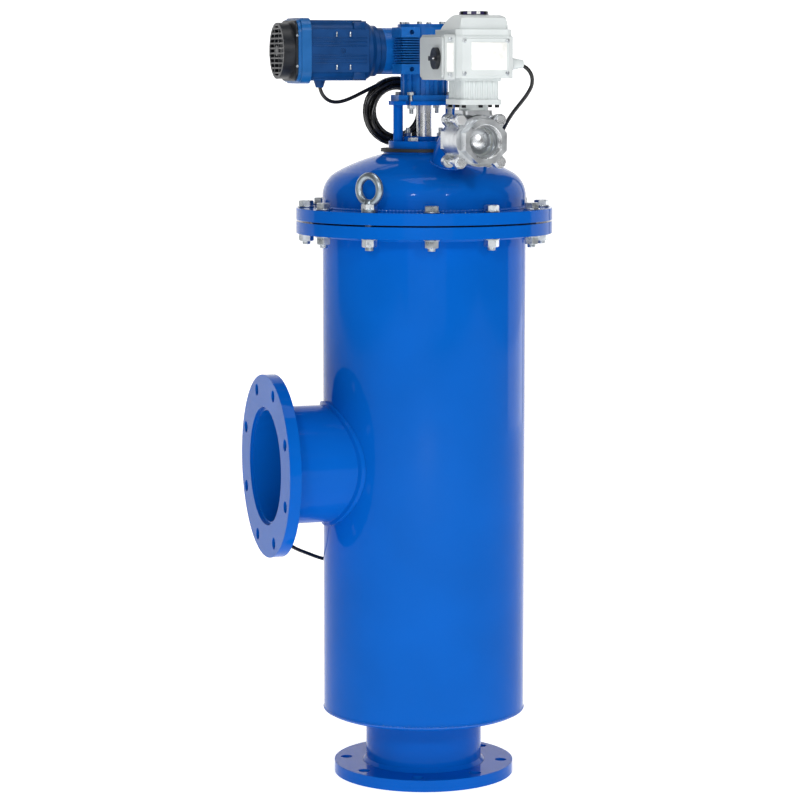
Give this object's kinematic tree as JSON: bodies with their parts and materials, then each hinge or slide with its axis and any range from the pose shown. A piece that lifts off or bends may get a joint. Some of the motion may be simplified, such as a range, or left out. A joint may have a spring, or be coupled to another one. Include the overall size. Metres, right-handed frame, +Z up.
{
  "type": "self cleaning water filter",
  "caption": "Upright blue pressure filter with a bottom inlet and side outlet, a motor-driven suction scanner inside and an electric ball valve that flushes it.",
  "frame": {"origin": "centre of the inlet flange's face, on the body's axis", "axes": "+Z up along the body, -X to the outlet and motor, -Y to the flush port"},
  "size_m": [0.5495, 0.5827, 1.4332],
  "materials": {
    "body_paint": "glossy royal blue enamel on steel",
    "drive_paint": "dull blue paint on cast aluminium",
    "shield_paint": "blue paint on cast aluminium",
    "zinc": "bright zinc plate",
    "stainless": "cast and turned stainless steel",
    "core_steel": "bare steel and laminations",
    "bronze": "cast bronze",
    "gasket_rubber": "black rubber",
    "packing": "braided packing",
    "seat": "white seat polymer",
    "cowl": "black moulded plastic",
    "fan": "grey moulded plastic",
    "actuator_paint": "pale grey powder coat on cast aluminium",
    "dial": "dark tinted window",
    "cable": "black cable sheath"
  },
  "bodies": {
    "housing": {"inlet_flange": "body_paint", "inlet_neck": "body_paint", "bottom_plate": "body_paint", "shell": "body_paint", "outlet_nozzle": "body_paint", "outlet_flange": "body_paint", "body_flange": "body_paint", "cover_flange": "body_paint", "cover_dome": "body_paint", "cover_pad": "body_paint", "stand_base": "body_paint", "stand_yoke": "body_paint", "packing_gland": "body_paint", "flush_elbow": "body_paint", "gearbox_flange": "drive_paint", "gearbox_housing": "drive_paint", "gearbox_cover": "drive_paint", "motor_adapter": "drive_paint", "motor_frame": "drive_paint", "motor_gland": "drive_paint", "motor_end_shield": "shield_paint", "cover_bolts": "zinc", "cover_nuts": "zinc", "eye_bolts": "zinc", "stand_bolts": "zinc", "gland_studs": "zinc", "flange_bolts": "zinc", "shaft_bearings": "stainless", "rotor_bearings": "stainless", "valve_rear_cap": "stainless", "valve_body": "stainless", "valve_front_cap": "stainless", "valve_bolts": "stainless", "screen_cage": "stainless", "screen_mesh": "stainless", "foot_spider": "stainless", "chamber_plate": "stainless", "stator_core": "core_steel", "main_gasket": "gasket_rubber", "rubber_disc": "gasket_rubber", "packing_rings": "packing", "valve_seats": "seat", "fan_cowl": "cowl", "actuator_base": "actuator_paint", "actuator_body": "actuator_paint", "actuator_lid": "actuator_paint", "actuator_side_cover": "actuator_paint", "actuator_gland": "actuator_paint", "motor_cable": "cable", "cable_coil": "cable", "actuator_cable": "cable"},
    "scanner": {"drive_shaft": "stainless", "worm_wheel": "bronze", "suction_scanner": "stainless"},
    "rotor": {"motor_rotor": "core_steel", "cooling_fan": "fan"},
    "valve": {"valve_ball": "stainless", "valve_stem": "stainless", "position_dial": "dial"},
    "knob": {"selector_knob": "cowl"}
  },
  "joints": [
    {"name": "scanner_spin", "type": "hinge", "parent": "housing", "child": "scanner", "pos_m": [0, 0, 0.6], "axis": [0, 0, 1], "continuous": true},
    {"name": "motor_spin", "type": "hinge", "parent": "housing", "child": "rotor", "pos_m": [-0.1, 0.05, 1.3639], "axis": [1, 0, 0], "continuous": true},
    {"name": "valve_turn", "type": "hinge", "parent": "housing", "child": "valve", "pos_m": [0.006, -0.257, 1.2044], "axis": [0, 0, 1], "range_deg": [0, 90]},
    {"name": "selector_turn", "type": "hinge", "parent": "housing", "child": "knob", "pos_m": [-0.0733, -0.29, 1.3494], "axis": [1, 0, 0], "range_deg": [0, 90]}
  ],
  "couplings": [
    {"joint": "motor_spin", "follows": "scanner_spin", "ratio": 30}
  ]
}
